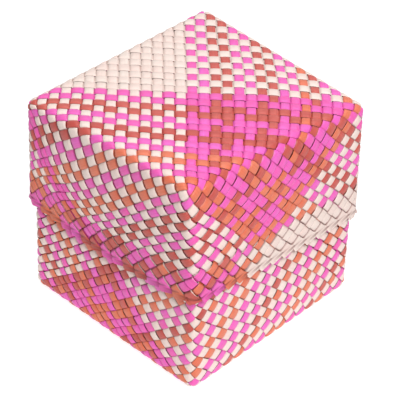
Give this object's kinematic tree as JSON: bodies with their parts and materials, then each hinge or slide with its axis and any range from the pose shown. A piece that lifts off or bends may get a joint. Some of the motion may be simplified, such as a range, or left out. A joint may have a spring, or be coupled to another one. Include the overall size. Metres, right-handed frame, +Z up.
{
  "type": "plaited trinket box",
  "caption": "Near-cubic lidded trinket box, plaited on the bias from flat dyed leaf strips, with a deep lid that slides down over the base.",
  "frame": {"origin": "point of the base's underside that lies below the middle of the lid's top, on the surface that the box stands on", "axes": "+Z up, the way the lid lifts; +X and +Y are square to two neighbouring walls, and +Y runs along the longer ones"},
  "size_m": [0.1156, 0.1172, 0.1115],
  "materials": {
    "pink_strip": "soft satin dyed leaf strip, bright pink",
    "rust_strip": "soft satin dyed leaf strip, rust red",
    "orange_strip": "soft satin dyed leaf strip, orange",
    "cream_strip": "soft satin undyed leaf strip, cream"
  },
  "bodies": {
    "base": {"base_plait": "cream_strip", "base_hem": "orange_strip", "base_inner_hem": "cream_strip", "base_rim_folds": "orange_strip"},
    "lid": {"lid_plait": "pink_strip", "lid_outer_hem": "rust_strip", "lid_inner_hem": "cream_strip", "lid_rim_folds": "pink_strip"}
  },
  "joints": [
    {"name": "lid_lift", "type": "slide", "parent": "base", "child": "lid", "axis": [0, 0, 1], "range_m": [0, 0.07]}
  ]
}
